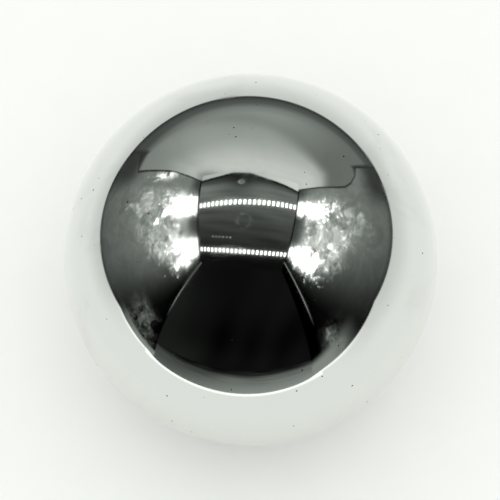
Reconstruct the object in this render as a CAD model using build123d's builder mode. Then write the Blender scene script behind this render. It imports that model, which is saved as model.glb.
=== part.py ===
"""Silver ball: a hollow stainless-steel ball, polished to a mirror.

Two pressed half shells are butt welded at the rim, and the weld is ground flush and polished away, so
the finished ball is one piece with no seam, hole or flat. It is sealed and can't be seen into, so it is
one solid of its outer form. Its weight is the thin shell's, and is stated in the record.

Frame: millimetres, +Z up, origin at the centre of the ball.
"""

import os

from build123d import *

# Driving dimension
ball_diameter = 70.0

# Worked out from it
ball_radius = ball_diameter / 2

# The ball: a half disc on the XZ plane, its straight side on the Z axis, turned once about that axis
with BuildPart() as ball:
    with BuildSketch(Plane.XZ):
        with BuildLine():
            meridian = CenterArc((0, 0), ball_radius, start_angle=-90, arc_size=180)
            Line(meridian @ 1, meridian @ 0)
        make_face()
    revolve(axis=Axis.Z)

ball.part.label = "ball"

os.makedirs("parts", exist_ok=True)
export_step(ball.part, "parts/ball.step")
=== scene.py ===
"""The looks of a mirror-polished steel ball, and of the small light box that it mirrors.

Lengths are metres, +Z is up, and the origin is the centre of the ball. The light box is laid out in a
frame of its own: the ball's frame turned a little about Z, with lengths in ball radii.
"""

import math

import bpy
import numpy as np
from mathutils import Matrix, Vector


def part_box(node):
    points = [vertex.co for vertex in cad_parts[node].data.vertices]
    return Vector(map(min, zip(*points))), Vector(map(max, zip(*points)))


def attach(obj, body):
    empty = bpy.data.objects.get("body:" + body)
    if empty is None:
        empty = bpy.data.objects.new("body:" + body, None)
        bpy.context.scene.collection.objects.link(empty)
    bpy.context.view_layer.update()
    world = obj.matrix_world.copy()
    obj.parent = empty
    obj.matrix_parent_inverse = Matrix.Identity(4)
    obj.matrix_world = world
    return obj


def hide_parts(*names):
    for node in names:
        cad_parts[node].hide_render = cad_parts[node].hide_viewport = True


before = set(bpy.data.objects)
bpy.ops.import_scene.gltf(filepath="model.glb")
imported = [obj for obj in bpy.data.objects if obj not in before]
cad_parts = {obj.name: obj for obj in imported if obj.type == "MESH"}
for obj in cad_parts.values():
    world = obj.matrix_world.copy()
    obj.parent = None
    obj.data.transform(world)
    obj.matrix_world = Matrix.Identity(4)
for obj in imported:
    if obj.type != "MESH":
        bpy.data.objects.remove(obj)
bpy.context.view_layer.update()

bl_info = {
    "name": "Silver Ball",
    "version": (1, 0, 0),
    "blender": (4, 5, 0),
    "location": "3D View > Sidebar > Silver Ball",
    "description": "Makes a mirror-polished steel ball and the light box that it mirrors",
    "category": "Add Mesh",
}

MM = 0.001

# The ball, from its part in model.glb
BALL_LOW, BALL_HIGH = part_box("ball")
RADIUS = (BALL_HIGH.z - BALL_LOW.z) / 2
FLOOR_Z = BALL_LOW.z

# What the mirror sees of the light box: the faint tints of its greys and its whites, and its white sheet
GREY_TINT = (0.93, 1.0, 0.955)
WHITE_TINT = (0.985, 1.0, 0.985)
SHEET_LEVEL = 0.875

# How much of the light that falls on polished steel it mirrors
STEEL_GAIN = 0.745

# The camera aims beside the ball's centre by this much
AIM_ABOVE = 1.84 * MM
AIM_LEFT = 0.13 * MM

# The soft lamp over the ball: where it hangs, and the length of its sides, in metres
LAMP_PLACE = (0.0, -0.3, 0.9)
LAMP_SIZE = 1.2


def linear(hex_colour):
    """Turns an sRGB hex colour into linear red, green and blue."""
    steps = [int(hex_colour[i : i + 2], 16) / 255 for i in (0, 2, 4)]
    return tuple(s / 12.92 if s <= 0.04045 else ((s + 0.055) / 1.055) ** 2.4 for s in steps)


# ---------------------------------------------------------------------------------------- settings


class SilverBallSizes(bpy.types.PropertyGroup):
    """The sizes and colours of the ball."""

    radius: bpy.props.FloatProperty(
        name="Radius",
        description="Radius of the ball",
        default=RADIUS,
        unit="LENGTH",
        precision=4,
    )
    facets: bpy.props.IntProperty(
        name="Facets",
        description="Faces along each edge of the curved cube that the mesh is laid out on",
        default=126,
    )
    form_error: bpy.props.FloatProperty(
        name="Form error",
        description="How far the pressed and polished shell waves in and out of a true sphere",
        default=0.0035 * MM,
        unit="LENGTH",
        precision=6,
    )
    steel_colour: bpy.props.FloatVectorProperty(
        name="Steel",
        description="Colour that the polished steel gives what it mirrors",
        subtype="COLOR",
        size=3,
        default=linear("DDE0DB"),
    )
    film_colour: bpy.props.FloatVectorProperty(
        name="Handling film",
        description="Colour of the steel under the faint film that handling leaves",
        subtype="COLOR",
        size=3,
        default=linear("D6D9D3"),
    )
    speck_colour: bpy.props.FloatVectorProperty(
        name="Specks",
        description="Colour of dust specks, pits and fine hairs",
        subtype="COLOR",
        size=3,
        default=linear("3A3B38"),
    )
    polish: bpy.props.FloatProperty(
        name="Polish",
        description="Roughness of the clean mirror polish",
        subtype="FACTOR",
        default=0.045,
    )
    film_roughness: bpy.props.FloatProperty(
        name="Film roughness",
        description="Roughness where the handling film is thickest",
        subtype="FACTOR",
        default=0.11,
    )
    speck_width: bpy.props.FloatProperty(
        name="Speck width",
        description="Width of the largest dust specks and pits",
        default=0.38 * MM,
        unit="LENGTH",
        precision=5,
    )
    speck_spacing: bpy.props.FloatProperty(
        name="Speck spacing",
        description="Distance between the scattered points that specks grow from",
        default=5.5 * MM,
        unit="LENGTH",
        precision=4,
    )


class SilverBallStage(bpy.types.PropertyGroup):
    """The light box, its sheet and the camera. Lengths of the box are in ball radii."""

    turn: bpy.props.FloatProperty(
        name="Turn",
        description="How far the light box is turned about the ball",
        subtype="ANGLE",
        unit="ROTATION",
        default=math.radians(-6.2),
    )
    left: bpy.props.FloatProperty(name="Left", description="X of the left wall, in radii", default=-3.42)
    right: bpy.props.FloatProperty(name="Right", description="X of the right wall, in radii", default=2.87)
    front: bpy.props.FloatProperty(name="Front", description="Y of the open front, in radii", default=-4.2)
    sheet_front: bpy.props.FloatProperty(
        name="Sheet front", description="Y of the front edge of the white sheet, in radii", default=-3.6
    )
    back: bpy.props.FloatProperty(name="Back", description="Y of the backdrop, in radii", default=2.4)
    top: bpy.props.FloatProperty(name="Top", description="Z of the lamp panel, in radii", default=6.59)
    sheet_colour: bpy.props.FloatVectorProperty(
        name="White sheet",
        description="Colour of the matt sheet that the ball stands on",
        subtype="COLOR",
        size=3,
        default=linear("FAFCF8"),
    )
    lamp_power: bpy.props.FloatProperty(
        name="Lamp power",
        description="Power of the soft lamp over the ball, in watts",
        default=3.7,
    )
    fill: bpy.props.FloatProperty(
        name="Fill",
        description="Strength of the even white light from all round",
        default=0.81,
    )
    camera_distance: bpy.props.FloatProperty(
        name="Camera distance",
        description="From the camera to the centre of the ball",
        default=7 * RADIUS,
        unit="LENGTH",
    )
    camera_elevation: bpy.props.FloatProperty(
        name="Camera elevation",
        description="Angle of the camera above the level of the ball",
        subtype="ANGLE",
        unit="ROTATION",
        default=math.radians(62),
    )
    lens: bpy.props.FloatProperty(
        name="Lens",
        description="Focal length of the camera",
        default=93.0,
        unit="CAMERA",
    )


# ----------------------------------------------------------------------------------- small helpers


def add(tree, kind, inputs=None, **settings):
    """Adds a node with these settings.

    Each input, by name or number, gets its value, or a link where the value is another node's socket.
    """
    made = tree.nodes.new(kind)
    for name, value in settings.items():
        setattr(made, name, value)
    for name, value in (inputs or {}).items():
        socket = made.inputs[name]
        if isinstance(value, bpy.types.NodeSocket):
            tree.links.new(value, socket)
        else:
            socket.default_value = value
    return made


def new_material(name):
    """An empty node material, and its tree."""
    material = bpy.data.materials.new(name)
    material.use_nodes = True
    material.node_tree.nodes.clear()
    return material, material.node_tree


def opaque(colour):
    """A colour with full alpha, as a colour socket takes it."""
    return (*colour, 1.0)


def grid_faces(rows, columns, first=0):
    """The corner numbers of each cell of a grid of points that are numbered row by row from first."""
    number = np.arange(rows * columns).reshape(rows, columns) + first
    corners = [number[:-1, :-1], number[1:, :-1], number[1:, 1:], number[:-1, 1:]]
    return np.stack(corners, axis=-1).reshape(-1, 4)


def add_mesh(name, points, faces, material):
    """Puts an array of points and one of faces into a new smooth object that stands at the origin."""
    mesh = bpy.data.meshes.new(name)
    mesh.from_pydata(points.reshape(-1, 3).tolist(), [], faces.tolist())
    mesh.polygons.foreach_set("use_smooth", np.ones(len(mesh.polygons), bool))
    mesh.materials.append(material)
    mesh.update()
    made = bpy.data.objects.new(name, mesh)
    bpy.context.scene.collection.objects.link(made)
    return made


# ---------------------------------------------------------------------------------------- the ball


def ball_mesh(radius, facets, form_error):
    """A sphere laid out as the six faces of a cube.

    On each face two angles, a and b, run from -45 to 45 degrees, and the point is the direction
    (tan a, tan b, 1) brought to the length of the radius. Points that two or three faces share are merged,
    so there is no seam and no pole. The radius then rises and falls by the form error times a sum of long
    sine waves that cross the ball in scattered directions, as on a pressed and polished shell.
    """
    angle = np.linspace(-math.pi / 4, math.pi / 4, facets + 1)
    a, b = np.meshgrid(np.tan(angle), np.tan(angle), indexing="ij")
    one = np.ones_like(a)
    upper = np.stack([a, b, one], axis=-1)
    lower = np.stack([b, a, -one], axis=-1)
    sides = np.stack([np.roll(side, turn, axis=-1) for side in (upper, lower) for turn in range(3)])
    unit = (sides / np.linalg.norm(sides, axis=-1)[..., None]).reshape(-1, 3)

    side_count = (facets + 1) ** 2
    faces = np.concatenate([grid_faces(facets + 1, facets + 1, n * side_count) for n in range(6)])
    lattice = np.round(unit * 1e6).astype(np.int64)
    _, kept, merged = np.unique(lattice, axis=0, return_index=True, return_inverse=True)
    unit = unit[kept]
    faces = merged.reshape(-1)[faces]

    chance = np.random.default_rng(7)
    wave_count = 9
    across = chance.normal(size=(wave_count, 3))
    across *= (chance.uniform(2.5, 6.0, wave_count) / np.linalg.norm(across, axis=1))[:, None]
    phase = chance.uniform(0, 2 * math.pi, wave_count)
    wave = np.sin(unit @ across.T * math.pi + phase).sum(axis=1) / math.sqrt(wave_count)
    return unit * (radius + form_error * wave)[:, None], faces


def mirror_steel(sizes):
    """Stainless steel 304, pressed, ground and buffed to a mirror.

    It mirrors all that is round it, a little darker and barely greener than it is. Handling leaves a thin
    film that softens the mirror in patches, buffing leaves a faint orange peel, and dust and pits show as
    a few dark specks and short hairs against anything pale.
    """
    material, tree = new_material("mirror_polished_stainless_steel")
    place = add(tree, "ShaderNodeTexCoord").outputs["Object"]

    # Handling film: patches 14 mm across, drawn out by wiping
    drawn_out = {"Vector": place, "Rotation": (0.5, 0.9, 0.3), "Scale": (1, 1, 0.45)}
    wiped = add(tree, "ShaderNodeMapping", drawn_out)
    patches = add(
        tree,
        "ShaderNodeTexNoise",
        {
            "Vector": wiped.outputs[0],
            "Scale": 1 / (14 * MM),
            "Detail": 5,
            "Roughness": 0.6,
            "Distortion": 0.8,
        },
    )
    film = add(
        tree,
        "ShaderNodeMapRange",
        {"Value": patches.outputs[0], "From Min": 0.5, "From Max": 0.72},
        interpolation_type="SMOOTHSTEP",
    ).outputs[0]

    # Specks: dots, then two sets of short hairs, each where the skin of the ball cuts a scattered point.
    # For each set: its spacing and its width as shares of the settings, its turn, and its stretch
    marks = None
    for spacing, width, turn, stretch in (
        (0.8, 1.0, (0.2, 0.1, 0.4), 1.0),
        (0.5, 0.5, (1.1, 0.3, 0.2), 0.14),
        (0.6, 0.45, (0.4, 1.3, 0.9), 0.1),
    ):
        own_axes = {"Vector": place, "Rotation": turn, "Scale": (1, 1, stretch)}
        turned = add(tree, "ShaderNodeMapping", own_axes)
        step = spacing * sizes.speck_spacing
        edge = width * sizes.speck_width / 2 / step
        cells = add(tree, "ShaderNodeTexVoronoi", {"Vector": turned.outputs[0], "Scale": 1 / step})
        solid_share = 0.85
        inside = {"Value": cells.outputs["Distance"], "From Min": edge, "From Max": solid_share * edge}
        mark = add(tree, "ShaderNodeMapRange", inside).outputs[0]
        if marks is None:
            marks = mark
        else:
            marks = add(tree, "ShaderNodeMath", {0: marks, 1: mark}, operation="MAXIMUM").outputs[0]

    steel = {0: film, 6: opaque(sizes.steel_colour), 7: opaque(sizes.film_colour)}
    steel = add(tree, "ShaderNodeMix", steel, data_type="RGBA").outputs[2]
    specked = {0: marks, 6: steel, 7: opaque(sizes.speck_colour)}
    colour = add(tree, "ShaderNodeMix", specked, data_type="RGBA").outputs[2]
    polish = {"Value": film, "To Min": sizes.polish, "To Max": sizes.film_roughness}
    polish = add(tree, "ShaderNodeMapRange", polish).outputs[0]
    dulled = {"Value": marks, "To Min": polish, "To Max": 0.6}
    roughness = add(tree, "ShaderNodeMapRange", dulled).outputs[0]

    # Orange peel: ripples 2.5 mm apart, which barely stir the mirrored edges
    peel = add(tree, "ShaderNodeTexNoise", {"Vector": place, "Scale": 1 / (2.5 * MM), "Detail": 2})
    ripples = {"Strength": 0.15, "Distance": 0.004 * MM, "Height": peel.outputs[0]}
    bump = add(tree, "ShaderNodeBump", ripples)

    shader = add(
        tree,
        "ShaderNodeBsdfPrincipled",
        {
            "Base Color": colour,
            "Metallic": 1.0,
            "Roughness": roughness,
            "Normal": bump.outputs[0],
        },
    )
    add(tree, "ShaderNodeOutputMaterial", {"Surface": shader.outputs[0]})
    return material


class SILVERBALL_OT_ball(bpy.types.Operator):
    """Make the mirror-polished steel ball"""

    bl_idname = "silver_ball.ball"
    bl_label = "Ball"

    def execute(self, context):
        sizes = context.scene.silver_ball_sizes
        points, faces = ball_mesh(sizes.radius, sizes.facets, sizes.form_error)
        ball = add_mesh("mirror_ball", points, faces, mirror_steel(sizes))
        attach(ball, "root")
        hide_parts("ball")
        return {"FINISHED"}


# --------------------------------------------------------------------------------------- the stage


def tone(level):
    """The light that polished steel mirrors as this grey, where 0 is black and 1 white on a screen."""
    level = np.asarray(level, float)
    light = np.where(level <= 0.04045, level / 12.92, ((np.abs(level) + 0.055) / 1.055) ** 2.4)
    return light / STEEL_GAIN


def rise(low, high, value):
    """A smooth rise from 0 at low to 1 at high."""
    t = np.clip((value - low) / (high - low), 0, 1)
    return t * t * (3 - 2 * t)


def bell(value, width):
    """A bell curve, 1 where the value is 0 and under 0.4 past the width."""
    return np.exp(-((value / width) ** 2))


def blend(a, b, share):
    """a where the share is 0, b where it is 1."""
    return a + (b - a) * share


def waves(u, v, seed, length, count=12, reach=4.0):
    """Soft unevenness, mostly between -1 and 1: a sum of sine waves in scattered directions.

    Their lengths are scattered about the given one, and the longest is reach times the shortest.
    """
    chance = np.random.default_rng(seed)
    total = np.zeros_like(u)
    for _ in range(count):
        heading, shift = chance.uniform(0, 2 * math.pi, 2)
        pace = 2 * math.pi / length * reach ** chance.uniform(-0.5, 0.5)
        total += np.sin(pace * (u * math.cos(heading) + v * math.sin(heading)) + shift)
    return total / math.sqrt(count) / 1.5


def crumple(u, v, seed, sizes):
    """How crumpled foil leans at each point, along u and along v: flat facets with sharp folds between.

    For each size, every square of a grid of that pitch holds one scattered spot with a lean of its own, and
    a point of the foil takes the lean of the spot nearest to it. Small facets lean less, and the leans of
    all sizes add up. The spots' squares wander, because u and v are first shifted by soft waves.
    """
    chance = np.random.default_rng(seed)
    squares = 97
    wander, wander_length = 0.12, 1.2
    wander_u = u + wander * waves(u, v, seed + 1, wander_length)
    wander_v = v + wander * waves(u, v, seed + 2, wander_length)
    lean = np.zeros((*u.shape, 2))
    for size in sizes:
        spots = chance.uniform(0, 1, (squares, squares, 2))
        leans = chance.normal(size=(squares, squares, 2)) * size**0.35
        place = np.stack([wander_u, wander_v], axis=-1) / size
        nearest = np.full(u.shape, np.inf)
        facet = np.zeros_like(lean)
        own_square = np.floor(place).astype(int)
        for beside in np.ndindex(3, 3):
            square = own_square + np.array(beside) - 1
            column, row = square[..., 0] % squares, square[..., 1] % squares
            distance = np.linalg.norm(square + spots[column, row] - place, axis=-1)
            closer = distance < nearest
            nearest = np.where(closer, distance, nearest)
            facet = np.where(closer[..., None], leans[column, row], facet)
        lean += facet
    return lean[..., 0], lean[..., 1]


def sheet_edge(stage, x, y):
    """Height of the curled edge of the white sheet up the walls, in radii. It climbs from front to back."""
    left = np.interp(y, (-4.2, -3.6, -2.6, -1.9, 0.2, 2.4), (-1.0, -0.76, -0.31, 0.0, 0.27, 0.62))
    right = np.interp(y, (-4.2, -1.0, 1.5, 2.4), (-1.0, 0.47, 0.8, 0.87))
    share = (x - stage.left) / (stage.right - stage.left)
    hump = 0.21 * np.sin(math.pi * np.clip(share, 0, 1)) * rise(1.2, 2.2, y)
    return blend(left, right, share) + hump


def tuck_under_sheet(stage, x, y, z, light, foot_height=0.3):
    """Covers the foot of a wall with the white sheet.

    Towards the open front the cut edge of the sheet is bright, a painted highlight, and over it shows the
    pale foot of the box, up to about the foot's height. Further back the wall is darker just over the edge,
    a painted shade, and the sheet is darker high up its curl towards the back, also painted shade.
    """
    over = z - sheet_edge(stage, x, y)
    nearness = rise(-1.4, -2.8, y)
    foot = tone(0.52)
    edge_shade, edge_shine, sheet_shade = 0.45, 0.45, 0.1
    light = light * (1 - edge_shade * bell(over - 0.04, 0.1) * (1 - nearness))
    light = blend(light, foot, rise(-1.6, -3.2, y) * rise(1.25 * foot_height, 0.6 * foot_height, over))
    sheet = tone(SHEET_LEVEL - sheet_shade * rise(-1.0, 0.1, over) * rise(-3.0, -0.5, y))
    sheet = sheet * (1 + edge_shine * bell(over + 0.05, 0.06) * nearness)
    sheet = np.where(y > stage.sheet_front, sheet, foot)
    return blend(sheet, light, rise(-0.02, 0.02, over))


def backdrop_tone(x, z):
    """The grey backdrop, its painted light and shade: dark where it meets the sheet, then paler with height,
    with a soft painted shade along a slanting fold.

    It is darker towards the right below the fold and at the left, and darkest in the corners by the sheet,
    all of it painted shade.
    """
    heights = (0.9, 1.25, 1.45, 1.7, 2.3, 2.9, 3.8, 4.8, 5.8, 6.6)
    levels = (0.27, 0.33, 0.48, 0.56, 0.58, 0.61, 0.69, 0.76, 0.78, 0.76)
    level = np.interp(z, heights, levels) + 0.008 * waves(x, z, 3, 2.0)
    fold = 2.1 + 0.33 * x + 0.03 * x**2
    level = level - 0.05 * bell(z - fold, 0.3)
    shaded = rise(-0.2, 2.4, x) * rise(fold + 0.9, fold, z)
    level = blend(level, np.minimum(level, 0.42), shaded)
    level = level - rise(-1.6, -3.2, x) * (0.06 * rise(1.2, 1.5, z) + 0.15 * rise(5.2, 6.6, z))
    left_corner_shade = rise(-3.08, -3.34, x) * rise(1.7, 1.45, z)
    right_corner_shade = rise(2.66, 2.8, x) * rise(2.1, 1.9, z)
    return tone(blend(level, 0.2, left_corner_shade + right_corner_shade))


def backdrop_light(stage, x, y, z):
    """The backdrop behind the ball, down to the sheet."""
    return tuck_under_sheet(stage, x, y, z, backdrop_tone(x, z))


def hang_backdrop(light, x, y, z, drop_edge):
    """Covers the back of a side wall with the backdrop, from a dark line along the drop edge."""
    # The dark line along the drop edge is painted shade.
    past = y - drop_edge
    light = blend(light, tone(0.1), bell(past + 0.02, 0.05))
    return np.where(past > 0.03, backdrop_tone(x, z), light)


def foil_light(stage, y, z, seed, front_edge, columns):
    """Crumpled silver foil on a side wall.

    Each strip of lamps shows down the foil as a white column, a painted reflection, between a front and a
    back edge, both of them straight from the top of the wall to the column's foot. The lean of the facets
    frays the edges. Round the feet and between the columns the facets are pale with painted glints, except
    at the top, where painted shade makes the foil dark. The rest is an even grey, darker towards the open
    front with painted shade, whose edge catches the light as a painted highlight, with some paler facets
    low down there, also painted glints. All of it is painted light and shade, a fixed glow that no lamp
    lights.
    """
    lean_y, lean_z = crumple(y, z, seed, (0.5, 0.27, 0.14, 0.07))
    from_front = y - front_edge - 0.45 * (4 - z)
    even_grey, darkest = 0.47, 0.03
    level = even_grey + 0.02 * waves(y, z, seed + 5, 2.2) + 0.012 * lean_y
    # Painted shade: darker towards the open front, lower down, under the lamp panel and low at the back;
    # painted glints on paler facets low at the front
    level = level * rise(-0.8, 2.6, from_front) * blend(0.8, 1.0, rise(0.3, 2.5, z))
    level = level * (1 - 0.45 * rise(4.9, 6.2, z)) * (1 - 0.45 * rise(0.9, 1.7, y) * rise(2.0, 1.2, z))
    level = level + (0.26 + 0.09 * lean_z) * rise(-1.8, -2.8, y) * rise(1.6, 0.6, z)

    # The pale facets, painted glints, which start at the first column's front edge and slant up towards the
    # front
    slanted = y + 1.3 * (z - 2.4) + 0.12 * lean_y
    crumpled = rise(-1.9, -0.8, slanted) * rise(1.2, 0.5, y)
    crumpled = crumpled * rise(1.5, 2.9, z + 0.2 * lean_z) * rise(5.6, 4.6, z)
    front_top, front_foot, _, _, foot = columns[0]
    lit_from = blend(front_top, front_foot, (stage.top - z) / (stage.top - foot))
    crumpled = crumpled * rise(-0.45, 0.05, y + 0.1 * lean_y - lit_from)
    facets = 0.72 + 0.055 * lean_y + 0.055 * lean_z + 0.25 * rise(1.2, 2.2, lean_y)
    light = tone(np.maximum(blend(level, facets, crumpled), darkest))

    # The columns, painted reflections of the lamp strips, each with a soft painted glow round it that is
    # narrower towards the front
    column_light, glow_light, fray = 1.9, 0.28, 0.12
    for front_top, front_foot, back_top, back_foot, foot in columns:
        down = (stage.top - z) / (stage.top - foot)
        frayed = y + (0.04 + 0.08 * down) * lean_y
        before = blend(front_top, front_foot, down) - frayed
        behind = frayed - blend(back_top, back_foot, down)
        ends = rise(foot - 0.4, foot + 0.4, z + 0.35 * lean_z)
        light = light + column_light * rise(fray, -fray, before) * rise(fray, -fray, behind) * ends
        light = light + glow_light * bell(np.maximum(np.maximum(1.7 * before, behind), 0), 0.33) * ends

    # The painted shade of the dark front and top of the wall, and the painted highlight of the front edge
    # that catches the light
    light = light * rise(front_edge - 0.1, front_edge + 0.9, y)
    light = light * rise(stage.top - 0.12, stage.top - 0.3, z)
    return light + 0.5 * bell(y - front_edge - 0.06, 0.028) * rise(1.4, 3.0, z)


def left_wall_light(stage, x, y, z):
    """The left wall. The backdrop hangs straight down over its back, with bright pinched foil beside it."""
    # For each column: y of its front edge at the top and the foot, y of its back edge there, z of its foot
    columns = ((-3.35, -3.05, -2.2, -1.5, 4.0), (-0.35, -0.5, 0.8, 0.65, 3.9))
    light = foil_light(stage, y, z, 11, stage.front, columns)
    lean_y, lean_z = crumple(y, z, 19, (0.5, 0.28, 0.15))
    # The bright pinched foil beside the backdrop is a painted highlight.
    pinched = bell(y - 1.34 - 0.3 * (z - 2.4) + 0.05 * lean_y, 0.17) * bell(z - 3.25, 0.75)
    drop_edge = np.interp(z, (1.2, 1.6, 2.5, 3.6, 6.6), (2.6, 1.66, 1.75, 1.9, 1.95))
    light = hang_backdrop(light + 1.6 * pinched * rise(-0.9, 0.9, lean_z), x, y, z, drop_edge)
    return tuck_under_sheet(stage, x, y, z, light)


def right_wall_light(stage, x, y, z):
    """The right wall. The backdrop ends on it in a rounded corner, and its own front edge leans back."""
    columns = ((-2.75, -2.4, -2.3, -1.15, 3.6), (0.12, 0.12, 0.95, 0.85, 3.3))
    light = foil_light(stage, y, z, 23, stage.front + 0.7, columns)
    drop_edge = np.interp(z, (1.8, 2.0, 2.3, 2.6, 3.0, 6.6), (2.6, 2.1, 1.75, 1.6, 1.6, 1.9))
    light = hang_backdrop(light, x, y, z, drop_edge)
    return tuck_under_sheet(stage, x, y, z, light, foot_height=0.75)


def lamp_y(strip, x):
    """Y of a strip of lamps where it crosses x. The strips aren't quite square to the box."""
    return (0.37 + 0.08 * x, -2.9 + 0.03 * x)[strip]


def comb(value, first, last, count):
    """Distance from the nearest of a count of evenly spaced places between the first and the last."""
    pitch = (last - first) / (count - 1)
    step = (value - first) / pitch
    return np.abs(step - np.clip(np.round(step), 0, count - 1)) * pitch


def panel_light(stage, x, y, z):
    """The lamp panel: streaked dark foil, two strips of small lamps, and a row of pilot lights.

    It also has a hook and a vent, each ringed by a painted highlight. The backdrop's top edge shows behind
    it, humped where the hook holds it, past a dark line of painted shade.
    """
    # Painted light and shade on the foil: dark at the open front, pale further back, a painted shade patch
    # near the back
    depths = (-3.6, -3.1, -2.0, -1.2, -0.3, 0.7, 1.4, 1.9, 2.3)
    levels = (0.05, 0.1, 0.19, 0.24, 0.31, 0.4, 0.42, 0.22, 0.15)
    level = np.interp(y, depths, levels) * (1 + 0.12 * waves(0.3 * x, 2.5 * y, 31, 1.6))
    level = level * (1 - 0.4 * bell(x + 0.7, 0.8) * rise(0.9, 1.5, y))
    from_vent = np.hypot(x + 0.35, y + 0.85)
    from_hook = np.hypot(x + 0.75, 1.3 * (y - 1.7))
    # Painted highlights: a ring round the vent and a ring round the hook
    level = level + 0.08 * bell(from_vent - 0.42, 0.09) * (1 + 2 * waves(x, y, 37, 0.5))
    level = level + 0.4 * bell(from_hook - 0.14, 0.07)
    light = tone(level)

    lamps, lamp_light, glow_light = 22, 3.4, 0.09
    for strip in (0, 1):
        across = np.abs(y - lamp_y(strip, x))
        lamp = rise(0.095, 0.05, comb(x, -3.25, 2.75, lamps)) * rise(0.175, 0.115, across)
        light = light + lamp_light * lamp + glow_light * bell(across, 0.25)

    pilots, pilot_light = 6, 0.8
    pilot = rise(0.05, 0.02, comb(x, -2.3, -1.1, pilots)) * rise(0.05, 0.02, np.abs(y + 2.0))
    light = light + pilot_light * pilot

    past = y - (2.15 - 0.03 * (x + 0.8) ** 2 + 0.3 * bell(x + 0.8, 1.0))
    light = blend(light, tone(0.05), bell(past + 0.03, 0.11))
    return np.where(past > 0.04, tone(0.76 + 0.02 * x), light)


def bench_light(stage, x, y, z):
    """The bench in front of the sheet: grey beside the sheet, then darker, and darker to the left."""
    # All painted light and shade: grey beside the sheet, darker further out and to the left, with soft
    # painted highlights far out
    level = np.interp(y, (-12.0, -9.0, -7.5, -5.5, -3.8), (0.06, 0.14, 0.36, 0.45, 0.54))
    level = level * (1 - 0.35 * rise(0.5, -3.0, x)) + 0.05 * waves(x, 3 * y, 41, 2.5) * rise(-4.5, -7.0, y)
    return tone(np.maximum(level, 0.03))


def lip_light(stage, x, y, z):
    """The front edge of the sheet, curled up a little, where it catches more light."""
    return tone(np.full_like(x, 1.04))


def room_light(stage, x, y, z):
    """The dim room beyond the open front."""
    return tone(0.045 + 0.02 * waves(x, z, 43, 6.0) + 0.05 * rise(-2.5, -6.0, x))


def add_mirrored(name, stage, points, light, material):
    """Adds a surface that only the ball's mirror sees, from a grid of points in the box's frame, in radii.

    Its painted light and shade, a grey worked out for each point and faintly tinted, goes into a colour
    attribute.
    """
    x, y, z = (points[..., axis] for axis in range(3))
    grey = light(stage, x, y, z)[..., None]
    tint = blend(np.array(opaque(GREY_TINT)), np.array(opaque(WHITE_TINT)), rise(0.35, 0.9, grey))
    c, s = math.cos(stage.turn), math.sin(stage.turn)
    placed = np.stack([c * x - s * y, s * x + c * y, z], axis=-1) * RADIUS
    made = add_mesh(name, placed, grid_faces(*x.shape), material)
    layer = made.data.color_attributes.new("light", "FLOAT_COLOR", "POINT")
    layer.data.foreach_set("color", (grey * tint).astype(np.float32).ravel())
    made.visible_camera = False
    made.visible_diffuse = False
    made.visible_shadow = False
    return made


def flat_grid(corner, along, across, step):
    """A flat grid of points from a corner: u along one edge and v along the other, one point each step."""
    corner, along, across = (np.array(v, float) for v in (corner, along, across))
    u = np.linspace(0, 1, int(np.linalg.norm(along) / step) + 1)[:, None, None]
    v = np.linspace(0, 1, int(np.linalg.norm(across) / step) + 1)[None, :, None]
    return corner + u * along + v * across


def lip_grid(stage):
    """A strip that stands on the front edge of the sheet, and grows taller where it meets the walls."""
    x = np.linspace(stage.left, stage.right, 121)[:, None]
    up = np.linspace(0, 1, 4)[None, :]
    lowest, taller, reach = 0.13, 0.13, 0.5
    height = lowest + taller * bell(np.minimum(x - stage.left, stage.right - x), reach)
    z = up * height - 1
    return np.stack([np.broadcast_to(x, z.shape), np.full_like(z, stage.sheet_front), z], axis=-1)


def room_grid(stage, radius):
    """A quarter of a ball of this radius about the foot of the open front, by azimuth and elevation."""
    azimuth = np.linspace(math.pi, 2 * math.pi, 61)[:, None]
    elevation = np.linspace(0, math.pi / 2, 31)[None, :]
    x = radius * np.cos(azimuth) * np.cos(elevation)
    y = radius * np.sin(azimuth) * np.cos(elevation) + stage.front
    return np.stack([x, y, np.broadcast_to(radius * np.sin(elevation) - 1, x.shape)], axis=-1)


def mirrored_light():
    """Gives each point of the light box the light in its colour attribute."""
    material, tree = new_material("light_box")
    light = add(tree, "ShaderNodeAttribute", attribute_name="light")
    glow = add(tree, "ShaderNodeEmission", {"Color": light.outputs["Color"], "Strength": 1.0})
    add(tree, "ShaderNodeOutputMaterial", {"Surface": glow.outputs[0]})
    return material


def add_light_box(stage):
    """The box round the ball, which only its mirror sees: walls, backdrop, lamp panel, bench and room."""
    # Every surface of the box glows with painted light and shade; no lamp lights it.
    material = mirrored_light()
    width, depth, height = stage.right - stage.left, stage.back - stage.front, stage.top + 1
    rightward, inward, upward = (width, 0, 0), (0, depth, 0), (0, 0, height)
    room_reach = 9.0
    left_front, right_front = (stage.left, stage.front, -1), (stage.right, stage.front, -1)
    bench_depth = stage.sheet_front - stage.front + room_reach
    bench_corner = (-room_reach, stage.front - room_reach, -0.99)
    # For each side: its name, a corner, two edges, the step of its grid, and what gives its light
    sides = (
        ("left_wall", left_front, inward, upward, 0.025, left_wall_light),
        ("right_wall", right_front, inward, upward, 0.025, right_wall_light),
        ("backdrop", (stage.left, stage.back, -1), rightward, upward, 0.025, backdrop_light),
        ("lamp_panel", (stage.left, stage.front, stage.top), rightward, inward, 0.02, panel_light),
        ("bench", bench_corner, (2 * room_reach, 0, 0), (0, bench_depth, 0), 0.05, bench_light),
    )
    for name, corner, along, across, step, light in sides:
        add_mirrored(name, stage, flat_grid(corner, along, across, step), light, material)
    add_mirrored("sheet_lip", stage, lip_grid(stage), lip_light, material)
    add_mirrored("room", stage, room_grid(stage, room_reach), room_light, material)


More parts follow.
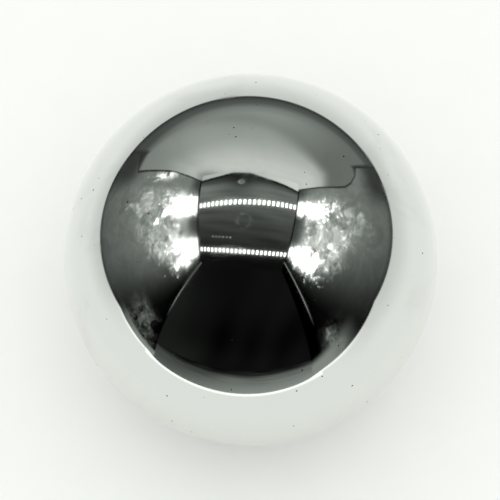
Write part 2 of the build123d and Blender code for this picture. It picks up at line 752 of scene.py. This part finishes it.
def white_sheet(stage):
    """Matt white card, faintly mottled. Far from the ball it fades into the white of the backdrop.

    The mirror sees the same even white from closer in.
    """
    material, tree = new_material("matt_white_card")
    place = add(tree, "ShaderNodeTexCoord").outputs["Object"]
    mottle = add(tree, "ShaderNodeTexNoise", {"Vector": place, "Scale": 1 / (9 * MM), "Detail": 3})
    dimmed = opaque([0.975 * part for part in stage.sheet_colour])
    shades = {0: mottle.outputs[0], 6: opaque(stage.sheet_colour), 7: dimmed}
    shade = add(tree, "ShaderNodeMix", shades, data_type="RGBA").outputs[2]
    matt = {"Base Color": shade, "Roughness": 0.9, "Specular IOR Level": 0.1}
    card = add(tree, "ShaderNodeBsdfPrincipled", matt)
    away = add(tree, "ShaderNodeVectorMath", {0: place}, operation="LENGTH").outputs["Value"]
    rays = add(tree, "ShaderNodeLightPath")
    shown = card.outputs[0]
    for near, far, ray, colour, light in (
        (1.6, 2.6, "Is Glossy Ray", WHITE_TINT, float(tone(SHEET_LEVEL))),
        (4.0, 12.0, "Is Camera Ray", (1, 1, 1), 1.0),
    ):
        fade = {"Value": away, "From Min": near * RADIUS, "From Max": far * RADIUS}
        fade = add(tree, "ShaderNodeMapRange", fade, interpolation_type="SMOOTHSTEP").outputs[0]
        share = {0: fade, 1: rays.outputs[ray]}
        share = add(tree, "ShaderNodeMath", share, operation="MULTIPLY").outputs[0]
        glow = add(tree, "ShaderNodeEmission", {"Color": opaque(colour), "Strength": light})
        shown = add(tree, "ShaderNodeMixShader", {0: share, 1: shown, 2: glow.outputs[0]}).outputs[0]
    add(tree, "ShaderNodeOutputMaterial", {"Surface": shown})
    return material


def add_floor(stage):
    """The white sheet's flat middle, run on far past the ball: a disc of rings and spokes."""
    distance = np.concatenate([[0.0], np.geomspace(0.02, 12.0, 24)])[:, None]
    angle = np.linspace(0, 2 * math.pi, 97)[None, :]
    x, y = distance * np.cos(angle), distance * np.sin(angle)
    points = np.stack([x, y, np.full_like(x, FLOOR_Z)], axis=-1)
    add_mesh("white_sheet", points, grid_faces(*points.shape[:2]), white_sheet(stage))


def add_lamp(name, place, size, watts):
    """A square soft lamp that faces the ball and isn't seen in it."""
    data = bpy.data.lights.new(name, "AREA")
    data.shape = "SQUARE"
    data.size = size
    data.energy = watts
    lamp = bpy.data.objects.new(name, data)
    lamp.location = place
    lamp.rotation_euler = (-Vector(place)).to_track_quat("-Z", "Y").to_euler()
    lamp.visible_glossy = False
    bpy.context.scene.collection.objects.link(lamp)


def add_world(fill):
    """Even white light from all round, and pure white where a camera, mirror or glass sees the world."""
    world = bpy.data.worlds.new("studio")
    bpy.context.scene.world = world
    world.use_nodes = True
    tree = world.node_tree
    tree.nodes.clear()
    rays = add(tree, "ShaderNodeLightPath")
    shiny = {0: rays.outputs["Is Glossy Ray"], 1: rays.outputs["Is Transmission Ray"]}
    shiny = add(tree, "ShaderNodeMath", shiny, operation="MAXIMUM").outputs[0]
    seen = {0: shiny, 1: rays.outputs["Is Camera Ray"]}
    seen = add(tree, "ShaderNodeMath", seen, operation="MAXIMUM").outputs[0]
    strength = add(tree, "ShaderNodeMapRange", {"Value": seen, "To Min": fill, "To Max": 1.0}).outputs[0]
    sky = add(tree, "ShaderNodeBackground", {"Color": (1, 1, 1, 1), "Strength": strength})
    add(tree, "ShaderNodeOutputWorld", {"Surface": sky.outputs[0]})


def add_camera(stage):
    """A camera above the ball's front that aims a little over the ball's centre."""
    data = bpy.data.cameras.new("camera")
    data.lens = stage.lens
    data.clip_start = 0.01
    data.clip_end = 50.0
    camera = bpy.data.objects.new("camera", data)
    back = Vector((0, -math.cos(stage.camera_elevation), math.sin(stage.camera_elevation)))
    above = Vector((0, math.sin(stage.camera_elevation), math.cos(stage.camera_elevation)))
    aim = above * AIM_ABOVE - Vector((AIM_LEFT, 0, 0))
    camera.location = back * stage.camera_distance
    camera.rotation_euler = (aim - camera.location).to_track_quat("-Z", "Y").to_euler()
    bpy.context.scene.collection.objects.link(camera)
    bpy.context.scene.camera = camera


class SILVERBALL_OT_stage(bpy.types.Operator):
    """Make the white sheet, the light box, the lamps and the camera"""

    bl_idname = "silver_ball.stage"
    bl_label = "Stage"

    def execute(self, context):
        stage = context.scene.silver_ball_stage
        add_floor(stage)
        add_light_box(stage)
        add_lamp("soft_lamp", LAMP_PLACE, LAMP_SIZE, stage.lamp_power)
        add_world(stage.fill)
        add_camera(stage)
        context.scene.view_settings.view_transform = "Standard"
        return {"FINISHED"}


# ---------------------------------------------------------------------------- panel and registration


class SILVERBALL_PT_sidebar(bpy.types.Panel):
    """Lists the operators with their settings"""

    bl_label = "Silver Ball"
    bl_space_type = "VIEW_3D"
    bl_region_type = "UI"
    bl_category = "Silver Ball"

    def draw(self, context):
        groups = (
            (SILVERBALL_OT_ball, context.scene.silver_ball_sizes),
            (SILVERBALL_OT_stage, context.scene.silver_ball_stage),
        )
        for operator, settings in groups:
            column = self.layout.column()
            column.operator(operator.bl_idname)
            for name in type(settings).__annotations__:
                column.prop(settings, name)


CLASSES = (
    SilverBallSizes,
    SilverBallStage,
    SILVERBALL_OT_ball,
    SILVERBALL_OT_stage,
    SILVERBALL_PT_sidebar,
)


def register():
    for made in CLASSES:
        bpy.utils.register_class(made)
    bpy.types.Scene.silver_ball_sizes = bpy.props.PointerProperty(type=SilverBallSizes)
    bpy.types.Scene.silver_ball_stage = bpy.props.PointerProperty(type=SilverBallStage)


def unregister():
    del bpy.types.Scene.silver_ball_stage
    del bpy.types.Scene.silver_ball_sizes
    for made in reversed(CLASSES):
        bpy.utils.unregister_class(made)


def main():
    register()
    bpy.ops.silver_ball.stage()
    bpy.ops.silver_ball.ball()


if __name__ == "__main__":
    main()
